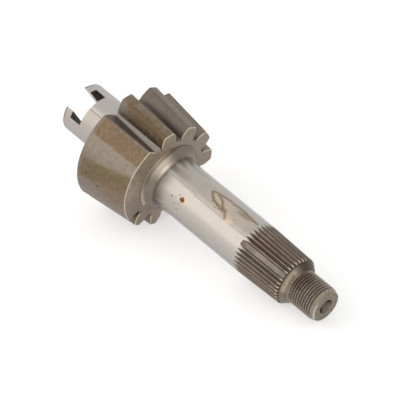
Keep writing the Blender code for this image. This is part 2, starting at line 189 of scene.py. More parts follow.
class Finish:
    """A material that is being built, with the shaft's own coordinates ready to use."""

    def __init__(self, name, metallic, roughness):
        self.material = bpy.data.materials.new(name)
        self.material.use_nodes = True
        self.tree = self.material.node_tree
        self.shader = self.tree.nodes["Principled BSDF"]
        self.shader.inputs["Metallic"].default_value = metallic
        self.shader.inputs["Roughness"].default_value = roughness
        self.colour = None
        turned_back = lay.transposed()
        values = {0: self.node("ShaderNodeTexCoord", {}, {}, "Object"),
                  "Location": turned_back @ thread_end * -MM_PER_M,
                  "Rotation": turned_back.to_euler(), "Scale": (MM_PER_M,) * 3}
        self.place = self.node("ShaderNodeMapping", {}, values)
        parts = self.node("ShaderNodeSeparateXYZ", {}, {0: self.place}).socket.node
        self.x, self.y, self.station = [Field(self, output) for output in parts.outputs]
        self.turn = self.y.math("ARCTAN2", self.x) * (180 / math.pi)

    def node(self, kind, settings, values, output=0):
        """Adds a node: its type, its settings, then the links or values of its sockets."""
        made = self.tree.nodes.new(kind)
        for name, value in settings.items():
            setattr(made, name, value)
        for name, value in values.items():
            if isinstance(value, Field):
                self.tree.links.new(value.socket, made.inputs[name])
            elif value is not None:
                made.inputs[name].default_value = value
        return Field(self, made.outputs[output])

    def noise(self, scale, detail=3.0, stretch=(1, 1, 1), roughness=0.55):
        """Cloudy noise in the shaft's frame; the scale is in spots per mm."""
        settings = {"operation": "MULTIPLY"}
        place = self.node("ShaderNodeVectorMath", settings, {0: self.place, 1: stretch})
        values = {"Vector": place, "Scale": scale, "Detail": detail, "Roughness": roughness}
        return self.node("ShaderNodeTexNoise", {}, values)

    def specks(self, scale, share):
        """Small dots: 1 where a fine noise is highest, and more of them as the share grows."""
        values = {"Vector": self.place, "Scale": scale, "Detail": 1.0}
        fine = self.node("ShaderNodeTexNoise", {}, values)
        return fine.ramp(SPECK_HEIGHT - share, SPECK_HEIGHT + SPECK_BORDER - share)

    def painted(self, name):
        """A value that was painted on the mesh's points."""
        return self.node("ShaderNodeAttribute", {"attribute_name": name}, {}, "Fac")

    def patch(self, angle, station, half_angle, half_length, wobble=0.0, soft=0.25):
        """1 inside an oval on the unrolled shaft, 0 outside; the wobble frays its border."""
        across = (self.turn - angle) / half_angle
        length = (self.station - station) / half_length
        away = (across * across + length * length).math("SQRT")
        if wobble:
            away = away + (self.noise(0.45, detail=4) - 0.5) * wobble
        return away.ramp(1 + soft / 2, 1 - soft / 2)

    def patches(self, places, *shape):
        """Ovals of one shape at several places: at each point the largest of their masks."""
        covered, *others = [self.patch(*place, *shape) for place in places]
        for other in others:
            covered = covered.either(other)
        return covered

    def band(self, angles, stations, fray, soft):
        """1 inside a strip between two angles and two stations, with a frayed border."""
        fringe = (self.noise(0.5, detail=4) - 0.5) * (2 * fray)
        sides = [(low - soft, low + soft, high - soft, high + soft)
                 for low, high in (angles, stations)]
        turned, along_it = self.turn + fringe * 1.6, self.station + fringe
        return turned.between(*sides[0]) * along_it.between(*sides[1])

    def mix(self, factor, first, second):
        """From the first colour to the second as the factor goes from 0 to 1."""
        colours = [c if isinstance(c, Field) else (*c, 1) for c in (first, second)]
        values = {0: factor, 6: colours[0], 7: colours[1]}
        return self.node("ShaderNodeMix", {"data_type": "RGBA"}, values, 2)

    def coat(self, mask, colour):
        """Lays a colour over the finish so far, as thick at each place as the mask is."""
        self.colour = self.mix(mask, self.colour, colour)

    def finished(self, height, distance, **values):
        """Feeds the shader its colour and values, with a bump of height times so many mm."""
        bumped = {"Height": height, "Distance": distance / MM_PER_M, "Strength": 1.0}
        normal = self.node("ShaderNodeBump", {}, bumped)
        for name, field in {"Base Color": self.colour, "Normal": normal, **values}.items():
            self.tree.links.new(field.socket, self.shader.inputs[name])
        print(self.material.name, "nodes:", len(self.tree.nodes))
        return self.material


print("finishes ready")

# %% [markdown]
# ## Light
#
# A plain soft studio: an even surround, and one wide softbox high on the left, a little
# warm, which draws the broad cream band along the journal. A picture of a real studio
# could light it too, but an even level keeps each colour near what is written. Only the
# camera and reflections see the surround as white, so a helper tells their rays apart.

# %% Surround
SURROUND_LEVEL = 0.55


def level_by_ray(tree, level, seen_level):
    """The seen level for camera and glossy rays, and the other level for all the rest."""
    rays = tree.nodes.new("ShaderNodeLightPath")
    seen = tree.nodes.new("ShaderNodeMath")
    seen.operation = "MAXIMUM"
    tree.links.new(rays.outputs["Is Camera Ray"], seen.inputs[0])
    tree.links.new(rays.outputs["Is Glossy Ray"], seen.inputs[1])
    chosen = tree.nodes.new("ShaderNodeMapRange")
    chosen.inputs["To Min"].default_value = level
    chosen.inputs["To Max"].default_value = seen_level
    tree.links.new(seen.outputs[0], chosen.inputs[0])
    return chosen.outputs[0]


world = bpy.data.worlds.new("studio")
bpy.context.scene.world = world
world.use_nodes = True
surround = world.node_tree
background = surround.nodes["Background"]
background.inputs["Color"].default_value = (1, 1, 1, 1)
surround.links.new(level_by_ray(surround, SURROUND_LEVEL, 1.0), background.inputs["Strength"])
print("surround level:", SURROUND_LEVEL)

# %% Softbox
LAMP_PLACE = Vector((-0.60, -0.78, 0.74))
LAMP_AIM = Vector((0, 0, 0.03))
LAMP_SIDE = 1.3
LAMP_POWER = 4.5
LAMP_COLOUR = (1.0, 0.90, 0.79)

lamp_data = bpy.data.lights.new("wide_left_box", "AREA")
lamp_data.shape = "RECTANGLE"
lamp_data.size = lamp_data.size_y = LAMP_SIDE
lamp_data.energy = LAMP_POWER
lamp_data.color = LAMP_COLOUR
lamp = in_scene("wide_left_box", lamp_data)
lamp.location = LAMP_PLACE
lamp.rotation_euler = (LAMP_AIM - LAMP_PLACE).to_track_quat("-Z", "Y").to_euler()
print("softbox, m:", LAMP_SIDE)

# %% [markdown]
# ## Floor
#
# The table is white paper. A brighter lamp could turn it white, but would wash out the
# steel. So the paper takes the shadow at a plain reflectance, and the white that is
# missing is added only to what the camera and the reflections see of it.

# %% Floor
FLOOR_SIZE = 6.0
PAPER_REFLECTANCE = 0.8
PAPER_GLOW = 0.55

half = FLOOR_SIZE / 2
corners = [(-half, -half, 0), (half, -half, 0), (half, half, 0), (-half, half, 0)]
floor_mesh = bpy.data.meshes.new("floor")
floor_mesh.from_pydata(corners, [], [(0, 1, 2, 3)])
floor = in_scene("floor", floor_mesh)
paper = bpy.data.materials.new("white_paper")
paper.use_nodes = True
sheet = paper.node_tree.nodes["Principled BSDF"]
plain = {"Base Color": (PAPER_REFLECTANCE,) * 3 + (1,), "Roughness": 0.9,
         "Specular IOR Level": 0.1, "Emission Color": (1, 1, 1, 1)}
for name, value in plain.items():
    sheet.inputs[name].default_value = value
glow = level_by_ray(paper.node_tree, 0.0, PAPER_GLOW)
paper.node_tree.links.new(glow, sheet.inputs["Emission Strength"])
floor_mesh.materials.append(paper)
print("floor, m:", FLOOR_SIZE)

# %% [markdown]
# ## Skins
#
# Every length of the shaft is a closed skin made of rows of points round the axis. A
# Screw modifier could spin a profile, but not teeth or grooves. One helper joins the
# rows, closes the seam and draws both ends to a pole on the axis, so that a piece is
# only its table of points. It can carry values painted on the points as well.

# %% Faces of a skin


def skin_faces(count, around):
    """Corners and sizes of the faces: quads between rows, then a fan at each end.

    A quad joins point j of row i to point j + 1, and to the same two of row i + 1.
    """
    i, j = np.meshgrid(np.arange(count - 1), np.arange(around), indexing="ij")
    here, above = i * around, (i + 1) * around
    after = (j + 1) % around
    quads = np.stack([here + j, here + after, above + after, above + j], axis=-1)
    ring = np.arange(around)
    beyond = (ring + 1) % around
    last_row = (count - 1) * around
    first_pole = np.full(around, count * around)
    first_fan = np.stack([first_pole, beyond, ring], axis=-1)
    last_fan = np.stack([first_pole + 1, last_row + ring, last_row + beyond], axis=-1)
    corners = np.concatenate([quads.ravel(), first_fan.ravel(), last_fan.ravel()])
    return corners, np.repeat([4, 3], [quads.size // 4, 2 * around])


print("faces of a three-sided skin of two rows:", len(skin_faces(2, 3)[1]))

# %% Closed skins
SHARP_EDGE_ANGLE = 30


def closed_skin(name, rows, poles, finish, **painted):
    """Makes a piece of rows that run towards the T-slot, closed at two poles on the axis.

    The points of a row go counter-clockwise about that direction, so that the faces
    point outwards. The poles are stations. A painted value has one number per point.
    """
    count, around = rows.shape[:2]
    points = laid_down(np.vstack([rows.reshape(-1, 3), [(0, 0, pole) for pole in poles]]))
    corners, sizes = skin_faces(count, around)
    mesh = bpy.data.meshes.new(name)
    mesh.vertices.add(len(points))
    mesh.vertices.foreach_set("co", points.ravel())
    mesh.loops.add(len(corners))
    mesh.loops.foreach_set("vertex_index", corners)
    mesh.polygons.add(len(sizes))
    mesh.polygons.foreach_set("loop_start", np.cumsum(sizes) - sizes)
    mesh.update(calc_edges=True)
    for label, values in painted.items():
        layer = mesh.attributes.new(label, "FLOAT", "POINT")
        on_rows = np.broadcast_to(values, (count, around)).ravel()
        layer.data.foreach_set("value", np.append(on_rows, [0, 0]))
    mesh.shade_smooth()
    mesh.set_sharp_from_angle(angle=math.radians(SHARP_EDGE_ANGLE))
    mesh.materials.append(finish)

    piece = in_scene(name, mesh)
    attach(piece, "root")
    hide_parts("sector_shaft")
    print(name, "triangles:", int((sizes - 2).sum()))
    return piece


print("edges are sharp from, degrees:", SHARP_EDGE_ANGLE)

# %% Turned skins and their steps


def round_angles(count):
    """One row of evenly spaced angles all the way round: 360 j / count."""
    return np.arange(count)[None, :] * 360 / count


def turned_skin(name, profile, count, poles, finish, **painted):
    """The skin of a turned piece: each (station, radius) of the profile, carried round."""
    rows = polar(profile[:, 1:], round_angles(count), profile[:, :1])
    return closed_skin(name, rows, poles, finish, **painted)


def along(start, *stops):
    """Stations from the start through each stop; a stop is (end, step)."""
    parts = [np.array([start])]
    for end, step in stops:
        count = max(1, round(abs(end - parts[-1][-1]) / step))
        parts.append(np.linspace(parts[-1][-1], end, count + 1)[1:])
    return np.concatenate(parts)


def smooth(value, start, end):
    """0 before start and 1 after end; between them 3 s s - 2 s s s of the share s."""
    share = np.clip((value - start) / (end - start), 0, 1)
    return share * share * (3 - 2 * share)


print("steps from 0 to 1 in tenths:", len(along(0, (1, 0.1))) - 1)

# %% [markdown]
# ## Sizes
#
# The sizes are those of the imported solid, in millimetres and degrees. What belongs to
# one length only is named where that length is drawn.

# %% Sizes
THREAD_RADIUS = 12.0
THREAD_LENGTH = 22.4
END_FACE_RADIUS = 10.7
LEAD_IN_LENGTH = 3.8
SERRATION_START = 27.2
SERRATION_END = 65.5
JOURNAL_RADIUS = 18.0
JOURNAL_END = 140.3
HUB_FACE = 145.6
SECTOR_FRONT = 146.3
SECTOR_BACK = 187.8
SHAFT_END = 230.5
print("length, mm:", SHAFT_END)

# %% [markdown]
# ## Threaded nose
#
# The nut's thread is a fine one, 24 mm across with a pitch of 2 mm. A screw modifier
# could wind a profile, but its ends are hard to close. Here the thread is a height on a
# cylinder: how far along its pitch a point lies depends on its station and its angle, and
# that gives its depth. The first turns fade out on the lead-in, which has worn smooth.

# %% Thread
THREAD_PITCH = 2.0
THREAD_DEPTH = 0.625 * math.sqrt(0.75) * THREAD_PITCH
CREST_SHARE = 0.125
ROOT_SHARE = 0.25
FIRST_CREST_STATION = 1.325
FIRST_CREST_ANGLE = 2.55
FADE_IN = (0.4, LEAD_IN_LENGTH + 0.6)
FADE_OUT = (THREAD_LENGTH - 1.0, THREAD_LENGTH)


def thread_depth(angle, station):
    """Share of the full depth: 0 on the crests, 1 in the roots, straight flanks between.

    The phase is the station in pitches less the angle in turns, without its whole part.
    """
    turns = (angle - FIRST_CREST_ANGLE) / 360
    phase = ((station - FIRST_CREST_STATION) / THREAD_PITCH - turns) % 1
    from_crest = np.minimum(phase, 1 - phase)
    share = (from_crest - CREST_SHARE / 2) / (0.5 - CREST_SHARE / 2 - ROOT_SHARE / 2)
    return np.clip(share, 0, 1)


def thread_cut(angle, station):
    """The depth's share times how much of the thread is cut, which fades at both ends."""
    fading = smooth(station, *FADE_IN) * (1 - smooth(station, *FADE_OUT))
    return thread_depth(angle, station) * fading


print("turns:", round((THREAD_LENGTH - LEAD_IN_LENGTH) / THREAD_PITCH, 1))

# %% [markdown]
# ### Finish of the nose
#
# The thread has oil and dirt in its roots, while the nut has kept its crests clean. One
# noise for all would miss that, so the painted depth of the thread drives the colour, and
# clouds break it up. The end face is mottled, its rim gets a painted highlight on one
# side, and the centre hole gets painted shade where it is turned away from the light.

# %% Nose finish
steel = Finish("nose_steel", metallic=0.75, roughness=0.42)
turn, station = steel.turn, steel.station
depth = steel.painted("thread_depth")
cloud = steel.noise(0.35).ramp(0.3, 0.7)
crest = steel.mix(cloud, (0.31, 0.262, 0.216), (0.45, 0.385, 0.323))
steel.colour = steel.mix(depth.ramp(0.35, 1.0), crest, (0.150, 0.121, 0.098))
rusty = steel.patch(-75, 20, 40, 7, 1.2, 0.8)
steel.coat(rusty * 0.55, (0.10, 0.055, 0.04))
lead_in = station.ramp(LEAD_IN_LENGTH + 0.4, LEAD_IN_LENGTH - 1.2) * station.ramp(0.0, 0.3)
steel.coat(lead_in * (1 - depth) * 0.9, (0.34, 0.28, 0.20))
blotches = steel.noise(0.8, detail=5, roughness=0.7).ramp(0.38, 0.62)
end_face = steel.mix(blotches, (0.15, 0.122, 0.09), (0.37, 0.315, 0.245))
steel.coat(station.ramp(0.12, 0.05), end_face)
grime = steel.noise(1.6, detail=5).ramp(0.62, 0.38)
steel.coat(grime * 0.35, (0.08, 0.06, 0.045))
steel.coat(steel.specks(1.4, 0.10) * 0.6, (0.10, 0.075, 0.05))
# Painted highlight: the rim is made bright on the lit side only.
rim = steel.painted("rim") * turn.ramp(-95, -125) * steel.noise(0.9).ramp(0.3, 0.5)
steel.coat(rim, (0.72, 0.66, 0.56))
# Painted shade in the centre hole, on the sides turned away from the light.
turned_away = turn.math("ABSOLUTE").near(168, 62).either(turn.near(0, 62))
shaded_side = turned_away * station.ramp(9.0, 5.0)
hole = steel.mix(shaded_side, (0.19, 0.15, 0.12), (0.04, 0.03, 0.024))
steel.coat(steel.painted("hole").ramp(0, 1), hole)
rough = depth * 0.2 + cloud * 0.15 + 0.3
nose_steel = steel.finished(steel.noise(2.5), 0.04, Roughness=rough)

# %% [markdown]
# ### Shape of the nose
#
# Its profile starts deep in the centre hole, comes out over the cone to the end face and
# runs along the lead-in and the thread, with a row every tenth of a millimetre to carry
# the turns. The depth, the hole and the bright rim are painted on the points.

# %% Nose
MOUTH_RADIUS = 5.2
PILOT_RADIUS = 2.0
CONE_HALF_ANGLE = 30
PILOT_LENGTH = 4.5
DRILL_POINT_LENGTH = 1.2
CONE_SHARES = (0.3, 0.6, 0.96)
FACE_RADII = (5.4, 6.5, 8.0, 9.5, 10.4)
RIM_STATION = 0.1
RIM_RADIUS = 10.62
RIM_WIDTH = 0.35
INNER_RADIUS = 10.8
NOSE_POINTS = 160

widening = MOUTH_RADIUS - PILOT_RADIUS
cone_depth = widening / math.tan(math.radians(CONE_HALF_ANGLE))
pilot_end = cone_depth + PILOT_LENGTH
hole = [(pilot_end, PILOT_RADIUS), (cone_depth, PILOT_RADIUS)]
hole += [(cone_depth * (1 - s), PILOT_RADIUS + widening * s) for s in CONE_SHARES]
face = [(0.0, radius) for radius in FACE_RADII] + [(RIM_STATION, RIM_RADIUS)]
outside = along(0.3, (1.2, 0.3), (THREAD_LENGTH, 0.1))
lead_in_rise = (THREAD_RADIUS - END_FACE_RADIUS) * outside / LEAD_IN_LENGTH
blank = np.minimum(END_FACE_RADIUS + lead_in_rise, THREAD_RADIUS)
thread_rows = list(zip(outside, blank)) + [(THREAD_LENGTH + 0.6, INNER_RADIUS)]
profile = np.array(hole + face + thread_rows)
stations, radii = profile[:, :1], profile[:, 1:]
angles = round_angles(NOSE_POINTS)
cut_share = thread_cut(angles, stations)
cut_radii = np.minimum(radii, THREAD_RADIUS - THREAD_DEPTH * cut_share)
in_hole = np.arange(len(profile))[:, None] < len(hole)
on_thread = radii > FACE_RADII[2]
on_rim = np.exp(-((stations - RIM_STATION) / RIM_WIDTH) ** 2) * (radii > FACE_RADII[3])
closed_skin("threaded_nose", polar(cut_radii, angles, stations),
            (pilot_end + DRILL_POINT_LENGTH, THREAD_LENGTH + 0.8), nose_steel,
            thread_depth=np.where(on_thread, cut_share, 0), hole=in_hole * 1.0, rim=on_rim)

# %% [markdown]
# ## Journal steel
#
# The journals are ground. Grinding leaves fine lines round the shaft. An anisotropic
# shader could stand for them, but here they also break up the shine, so one noise is
# stretched round the axis and packed along it. A thin brown film of old oil lies over the
# steel in clouds. The serration is cut into the same steel and starts from it too.

# %% Journal steel
BARE_STEEL = (0.450, 0.430, 0.410)
FILMED_STEEL = (0.465, 0.430, 0.395)


def ground_steel(name):
    """Ground steel with a film in clouds; its lines and its roughness are kept with it."""
    steel = Finish(name, metallic=0.92, roughness=0.33)
    steel.lines = steel.noise(1.0, detail=4, stretch=(0.02, 0.02, 2.2))
    film = steel.noise(0.055, detail=4)
    steel.colour = steel.mix(film.ramp(0.35, 0.65), BARE_STEEL, FILMED_STEEL)
    steel.coat(steel.noise(0.35, detail=5).ramp(0.3, 0.75) * 0.35, (0.40, 0.37, 0.335))
    steel.rough = steel.lines * 0.08 + film * 0.12 + 0.23
    return steel


print("ground steel ready")

# %% [markdown]
# ## Cones of the serration
#
# The drop arm is drawn up on a slight taper. Its crests lie on one cone and the floors of
# its grooves on a lower one. The cutter was lifted out in a curve at the journal, so the
# floor rises there, first slowly and then faster. The collar ends on the floor's cone,
# so both are written before it.

# %% Cones of the serration
GROOVE_DEPTH = 1.1223
TAPER = 1 / 32
TAPER_END = 63.0
RUN_OUT_LENGTH = 8.0
RUN_OUT_START = SERRATION_END - RUN_OUT_LENGTH


def crest_radius(station):
    """A cone that widens up to the journal: the journal's radius less the taper."""
    return JOURNAL_RADIUS - TAPER * np.maximum(0, TAPER_END - station)


def floor_radius(station):
    """The same cone a groove's depth lower, then a square curve up to the journal."""
    level = crest_radius(np.minimum(station, RUN_OUT_START)) - GROOVE_DEPTH
    share = np.maximum(0, station - RUN_OUT_START) / RUN_OUT_LENGTH
    return level + (JOURNAL_RADIUS - level) * share ** 2


COLLAR_END_RADIUS = float(floor_radius(SERRATION_START))
print("collar's end radius, mm:", round(COLLAR_END_RADIUS, 3))

# %% [markdown]
# ## Crowned collar
#
# A short turned shoulder between the thread and the serration, rounded over. A bevel
# would make it a plain quarter round. The real one rises fast and then levels out, which
# is a power curve. Its crown gets a painted highlight on the lit side, the other side gets
# painted shade, and a dark ring lies against the serration.

# %% Collar finish
steel = Finish("collar_steel", metallic=0.8, roughness=0.38)
turn, station = steel.turn, steel.station
cloud = steel.noise(0.3, detail=4)
steel.colour = steel.mix(cloud.ramp(0.3, 0.7), (0.195, 0.153, 0.12), (0.27, 0.22, 0.175))
# Painted highlight along the crown, on the lit side.
crown_highlight = (station + (cloud - 0.5) * 2.5).near(24.9, 1.6) * turn.between(-150, -135, -82, -66)
steel.coat(crown_highlight * 0.9, (0.46, 0.37, 0.255))
# Painted shade on the side away from the light.
shaded_side = turn.between(-80, -48, 30, 60)
steel.coat(shaded_side * 0.9, (0.062, 0.042, 0.031))
# A dark ring against the serration.
dark_ring = station.ramp(SERRATION_START - 0.9, SERRATION_START - 0.3)
steel.coat(dark_ring * 0.95, (0.035, 0.026, 0.02))
steel.coat(steel.specks(1.2, 0.10) * 0.6, (0.10, 0.07, 0.05))
turning_lines = steel.noise(1.5, stretch=(0.1, 0.1, 2))
collar_steel = steel.finished(turning_lines, 0.02, Roughness=cloud * 0.25 + 0.25)

# %% Collar
COLLAR_CROWN = 1.35
COLLAR_ROWS = 21
COLLAR_POINTS = 180
COLLAR_POLES = (THREAD_LENGTH, SERRATION_START + 0.5)

shares = np.linspace(0, 1, COLLAR_ROWS)
rise = 1 - (1 - shares) ** COLLAR_CROWN
crown_stations = THREAD_LENGTH + shares * (SERRATION_START - THREAD_LENGTH)
crown_radii = THREAD_RADIUS + rise * (COLLAR_END_RADIUS - THREAD_RADIUS)
hidden_start = (COLLAR_POLES[0], THREAD_RADIUS - 2.0)
hidden_end = (COLLAR_POLES[1], COLLAR_END_RADIUS - 1.5)
profile = np.array([hidden_start, *zip(crown_stations, crown_radii), hidden_end])
turned_skin("crowned_collar", profile, COLLAR_POINTS, COLLAR_POLES, collar_steel)

# %% [markdown]
# ## Serrated taper
#
# The drop arm grips 36 V-grooves, and one wide master groove sets its angle. An Array of
# cutters and a Boolean could cut them, but each groove has to end in a point on the
# journal. So the surface is crest radius less a depth: how deep a point lies depends on
# its place across the groove and on how far the floor has risen at its station. The
# master groove takes in two grooves and the crest between them.

# %% Shape of the serration
GROOVE_COUNT = 36
FIRST_GROOVE_ANGLE = 1.3
ROOT_HALF = 0.15
MASTER_GROOVE = 25
MASTER_SHARE = 0.8
SERRATION_NOSE = 0.7
CREST_ROUND = 0.15
FLANK_STEPS = (0.001, 0.45, 1 - CREST_ROUND, 1.0, 1 + CREST_ROUND)
LAND_MIDDLE = 9.0
ACROSS = np.array([-step for step in FLANK_STEPS[::-1]] + [0.0, *FLANK_STEPS, LAND_MIDDLE])


def flank_rise(across):
    """0 at the root land, straight up the flank to 1, and rounded over onto the crest."""
    over = np.clip(across - (1 - CREST_ROUND), 0, 2 * CREST_ROUND)
    return np.minimum(across, 1 + CREST_ROUND) - over ** 2 / (4 * CREST_ROUND)


def serration(station):
    """Rows of radius and angle, how deep each point lies, and 1 in the master groove.

    The radius is the crest's less the groove's depth times 1 less the flank's rise. The
    angle is the groove's own plus the reach across it, as an arc at the crest's radius.
    """
    groove = np.repeat(np.arange(GROOVE_COUNT), len(ACROSS))[None, :]
    across = np.tile(ACROSS, GROOVE_COUNT)[None, :]
    floor = floor_radius(station)
    nose = np.clip((station - SERRATION_START) / SERRATION_NOSE, 0, 1)
    crest = floor + (crest_radius(station) - floor) * nose
    first, second = groove == MASTER_GROOVE, groove == MASTER_GROOVE + 1
    in_master = (first & (across >= 0)) | (second & (across <= 0))
    share = np.where(in_master, 1, 1 - flank_rise(np.abs(across)))
    depth = (crest - floor) * share * np.where(first | second, MASTER_SHARE, 1)
    reach = np.sign(across) * ROOT_HALF + across * np.maximum(crest_radius(station) - floor, 0.02)
    offset = np.where(across == LAND_MIDDLE, 180 / GROOVE_COUNT, np.degrees(reach / crest))
    angle = FIRST_GROOVE_ANGLE + groove * 360 / GROOVE_COUNT + offset
    return crest - depth, angle, share + 0 * station, in_master + 0 * station


print("points round the serration:", GROOVE_COUNT * len(ACROSS))

# %% [markdown]
# ### Finish of the serration
#
# Old grease has turned dark brown in the grooves, and the crests are rubbed but dull. The
# painted depth puts the dirt where it really gathers. The master groove is greyer, one
# patch gets painted shade, the crests' noses get a painted highlight on the lit side, and
# the dirt ends where the grooves run out on the bare journal.

# %% Serration finish
steel = ground_steel("serration_steel")
turn, station = steel.turn, steel.station
groove = steel.painted("groove")
cloud = steel.noise(0.12, detail=4).ramp(0.3, 0.7)
crest = steel.mix(cloud, (0.160, 0.130, 0.105), (0.240, 0.200, 0.165))
steel.coat(station.ramp(SERRATION_END - 0.5, SERRATION_END - 6), crest)
# Painted shade on one patch.
shaded = steel.patch(-58, 40, 22, 11, 0.8, 1.0)
steel.coat(shaded * 0.45, (0.095, 0.078, 0.062))
# Painted highlight on the crests' noses, on the lit side.
nose_highlight = station.ramp(SERRATION_START + 2.8, SERRATION_START + 0.6) * turn.ramp(-24, -38)
steel.coat(nose_highlight * 0.8, (0.62, 0.54, 0.45))
crumbs = steel.noise(1.4, detail=4).ramp(0.3, 0.7)
dirt = steel.mix(crumbs, (0.078, 0.060, 0.047), (0.165, 0.129, 0.101))
rusty = steel.patch(-85, 50, 22, 11, 1.5, 0.6)
dirt = steel.mix(rusty * 0.6, dirt, (0.14, 0.075, 0.05))
steel.coat(groove.ramp(0.03, 0.4), dirt)
greyer = steel.mix(cloud, (0.150, 0.128, 0.111), (0.215, 0.188, 0.164))
steel.coat(steel.painted("master"), greyer)
steel.coat(steel.specks(1.1, 0.06) * 0.6, (0.06, 0.045, 0.035))
rough = steel.rough + groove * 0.25
serration_steel = steel.finished(steel.noise(1.8), 0.04, Roughness=rough)

# %% Serrated taper
FINE_ROWS_END = 28.0
HIDDEN_STEP = 2

stations = along(SERRATION_START, (FINE_ROWS_END, 0.1), (RUN_OUT_START, 0.8), (SERRATION_END, 0.2))
radii, angles, shares, in_master = serration(stations[:, None])
rows = polar(radii, angles, stations[:, None])
hidden = polar(COLLAR_END_RADIUS - HIDDEN_STEP, angles[:1], SERRATION_START)
closed_skin("serrated_taper", np.concatenate([hidden, rows]), (SERRATION_START, SERRATION_END),
            serration_steel, groove=np.concatenate([shares[:1], shares * (1 - in_master)]),
            master=np.concatenate([0 * shares[:1], in_master * 1.0]))

# %% [markdown]
# ## Long journal and hub
#
# A plain ground cylinder. At its inner end the grinding wheel needed a shallow relief,
# and a hollow fillet carries it up to the hub in front of the teeth.
#
# A puddle of oil has dried on it and left a brown outline. A noise can't be told where
# to put such a line, so the distance from it is worked out on the unrolled journal and
# painted on the points. Each line runs through a few places.

# %% Lines drawn on the journal
POINTS_PER_RUN = 24
FAR_FROM_LINE = 10


def drawn_line(*stops):
    """Evenly spaced points along the straight runs from stop to stop."""
    stops = np.array(stops, float)
    share = np.linspace(0, 1, POINTS_PER_RUN, endpoint=False)[None, :, None]
    return (stops[:-1, None] + (stops[1:] - stops[:-1])[:, None] * share).reshape(-1, 2)


def from_lines(station, angle, lines):
    """Millimetres on the unrolled journal to the nearest mark, as the root of two squares."""
    marks = np.concatenate(lines)
    length = station[..., None] - marks[:, 0]
    around = (angle[..., None] - marks[:, 1]) * math.radians(JOURNAL_RADIUS)
    return np.sqrt(length ** 2 + around ** 2).min(axis=-1)


OIL_OUTLINE = [
    drawn_line((106.4, 299.5), (105.4, 303.5), (102.0, 306.5), (95.1, 310.0), (91.5, 311.2)),
    drawn_line((89.6, 309.0), (85.5, 311.6), (80.3, 311.8), (73.7, 308.3), (67.3, 306.8)),
    drawn_line((106.4, 299.5), (103.3, 291.1), (101.1, 286.6), (97.7, 284.2),
               (93.9, 281.8), (90.1, 280.7)),
    drawn_line((102.4, 304.5), (99.0, 301.0), (95.7, 295.7), (92.7, 286.9),
               (89.2, 281.8), (85.4, 270.2))]
print("outline points:", sum(len(line) for line in OIL_OUTLINE))

# %% [markdown]
# ### Film, painted reflections and shade
#
# Tones painted by angle round the axis stand for the studio that the steel reflects: a
# darker band on the upper side, a paler band on the lit side and greyer shade underneath.
# Two dark lines along it and brown smears by the hub are painted reflections, of a dark
# line and of the sector. They are soft strips between two angles and two stations, and a
# noise frays them.

# %% Journal film
steel = ground_steel("journal_steel")
turn, station = steel.turn, steel.station
fray = steel.noise(1.1, detail=4)

# Painted shade: a darker band along the upper side.
upper_side_shade = turn.between(-93.5, -91.5, -60, -30)
steel.coat(upper_side_shade * 0.45, (0.40, 0.35, 0.30))
# Painted highlight: a paler band on the lit side.
painted_highlight = turn.near(-126, 22)
steel.coat(painted_highlight * 0.6, (0.51, 0.475, 0.435))
# Painted shade underneath, and a lighter dose of it in a band near the top.
underside_shade = turn.ramp(-148, -170) + turn.between(-38, -28, -14, -8) * 0.6
steel.coat(underside_shade * 0.6, (0.29, 0.285, 0.27))
# Painted reflection: two dark lines along the shaft, a little off its axis.
reflected_lines = turn.near(-92, 2.6) * station.between(64, 68, 112, 116)
reflected_lines = reflected_lines + turn.near(-88, 2.4) * station.between(110, 114, 138, 141)
steel.coat(reflected_lines * fray.ramp(0.1, 0.6) * 0.6, (0.24, 0.205, 0.175))
# Painted reflection of the sector: brown smears near the hub.
sector_reflection = steel.band((-82, -66), (124, 143), 1.5, 3.5) + steel.band((-45, -30), (118, 143), 1.5, 5)
steel.coat(sector_reflection.math("MINIMUM", 1) * fray.ramp(0.25, 0.6) * 0.4, (0.22, 0.185, 0.15))
print("strips on the film laid, nodes so far:", len(steel.tree.nodes))

# %% [markdown]
# ### The dried puddle
#
# Inside its outline the oil dried pale, with one thicker loop, an ochre pool and an olive
# one. The outline is drawn where the painted distance is small. The fray moves it to and
# fro, and a coarser noise breaks it, so that it doesn't look ruled.

# %% Dried puddle
puddle = steel.patch(-66, 88, 20, 20, 0.8, 0.5)
steel.coat(puddle * 0.6, (0.53, 0.435, 0.36))
loop = steel.patch(-69, 98, 6.5, 7.5, 0.9, 0.6)
steel.coat(loop * 0.6, (0.55, 0.46, 0.33))
ochre_pool = steel.patch(-85, 83.5, 8, 4.2, 1.3, 0.6)
steel.coat(ochre_pool * fray.ramp(0.3, 0.55) * 0.8, (0.58, 0.44, 0.30))
olive_pool = steel.patch(-57, 78.5, 7, 6, 1.6, 1.0)
steel.coat(olive_pool * fray.ramp(0.25, 0.6) * 0.85, (0.25, 0.195, 0.10))
away = steel.painted("oil_outline") + (fray - 0.5) * 2.8
broken = steel.noise(0.28, detail=4).ramp(0.12, 0.40)
outline = away.ramp(1.7, 0.1) * broken * fray.ramp(0.2, 0.5)
steel.coat(outline * 0.9, (0.195, 0.135, 0.075))
dots = steel.specks(0.75, 0.20) * steel.patch(-79, 92, 6.5, 14, 0.8, 0.6)
steel.coat(dots * 0.8, (0.17, 0.12, 0.065))
print("puddle laid, nodes so far:", len(steel.tree.nodes))

# %% [markdown]
# ### Rust spot and specks
#
# One spot has rusted: a dark core, an orange ring and a pale stain round it. A few specks
# lie near it, at places of their own, and fine ones are strewn over all.

# %% Rust spot
SPECK_PLACES = [(-126.8, 119.0), (-141.5, 119.9), (-110.2, 121.5), (-133, 123.0), (-118, 123.5)]

